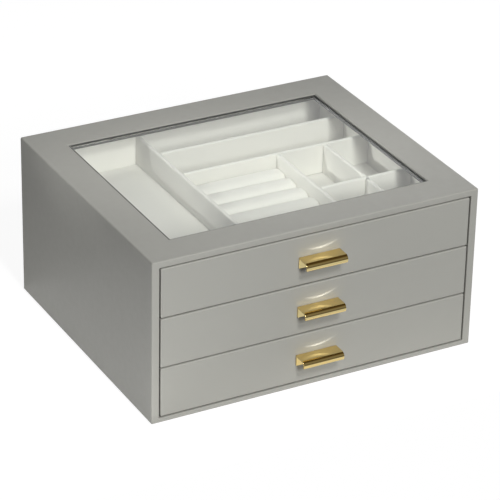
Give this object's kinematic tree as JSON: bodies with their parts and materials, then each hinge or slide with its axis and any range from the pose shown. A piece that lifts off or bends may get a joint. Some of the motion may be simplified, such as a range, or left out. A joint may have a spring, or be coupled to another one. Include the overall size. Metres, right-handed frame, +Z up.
{
  "type": "tiered jewelry box",
  "caption": "Tiered jewelry box in grey leatherette with a glazed top, stacked drawers on bent brass handles, velvet dividers and padded ring rolls.",
  "frame": {"origin": "middle of the felt underside that the box rests on", "axes": "+X to the right as seen from the front, +Y from the drawer fronts to the back, +Z up"},
  "size_m": [0.301, 0.2693, 0.1479],
  "materials": {
    "leatherette": "smooth warm-grey leatherette, satin, bonded to board",
    "velvet": "off-white velvet on board",
    "velvet_pad": "off-white velvet on foam",
    "shelf_board": "thin fibreboard covered in grey paper",
    "brass": "polished, warm gold",
    "screw_steel": "zinc-plated",
    "trim": "dark grey, matte",
    "glass": "clear, polished",
    "felt": "dark grey felt"
  },
  "bodies": {
    "case": {"base_felt": "felt", "base_board": "leatherette", "left_side_board": "leatherette", "right_side_board": "leatherette", "back_board": "leatherette", "lower_shelf": "shelf_board", "upper_shelf": "shelf_board", "top_frame": "leatherette", "glazing_trim": "trim", "glass_pane": "glass"},
    "bottom_drawer": {"bottom_drawer_front": "leatherette", "bottom_drawer_inner_front": "velvet", "bottom_drawer_left_wall": "velvet", "bottom_drawer_right_wall": "velvet", "bottom_drawer_rear_wall": "velvet", "bottom_drawer_bottom": "shelf_board", "bottom_drawer_floor_pad": "velvet_pad", "bottom_drawer_handle": "brass", "bottom_drawer_left_handle_screw": "screw_steel", "bottom_drawer_right_handle_screw": "screw_steel", "bottom_drawer_long_divider": "velvet", "bottom_drawer_cross_divider": "velvet"},
    "middle_drawer": {"middle_drawer_front": "leatherette", "middle_drawer_inner_front": "velvet", "middle_drawer_left_wall": "velvet", "middle_drawer_right_wall": "velvet", "middle_drawer_rear_wall": "velvet", "middle_drawer_bottom": "shelf_board", "middle_drawer_floor_pad": "velvet_pad", "middle_drawer_handle": "brass", "middle_drawer_left_handle_screw": "screw_steel", "middle_drawer_right_handle_screw": "screw_steel", "middle_drawer_left_divider": "velvet", "middle_drawer_right_divider": "velvet", "middle_drawer_cross_divider": "velvet"},
    "top_drawer": {"top_drawer_front": "leatherette", "top_drawer_inner_front": "velvet", "top_drawer_left_wall": "velvet", "top_drawer_right_wall": "velvet", "top_drawer_rear_wall": "velvet", "top_drawer_bottom": "shelf_board", "top_drawer_floor_pad": "velvet_pad", "top_drawer_handle": "brass", "top_drawer_left_handle_screw": "screw_steel", "top_drawer_right_handle_screw": "screw_steel", "top_drawer_long_divider": "velvet", "top_drawer_rear_divider": "velvet", "top_drawer_cross_divider": "velvet", "top_drawer_ring_divider": "velvet", "top_drawer_small_long_divider": "velvet", "top_drawer_small_cross_divider": "velvet", "top_drawer_ring_rolls": "velvet_pad"}
  },
  "joints": [
    {"name": "bottom_drawer_slide", "type": "slide", "parent": "case", "child": "bottom_drawer", "axis": [0, -1, 0], "range_m": [0, 0.2]},
    {"name": "middle_drawer_slide", "type": "slide", "parent": "case", "child": "middle_drawer", "axis": [0, -1, 0], "range_m": [0, 0.2]},
    {"name": "top_drawer_slide", "type": "slide", "parent": "case", "child": "top_drawer", "axis": [0, -1, 0], "range_m": [0, 0.2]}
  ]
}
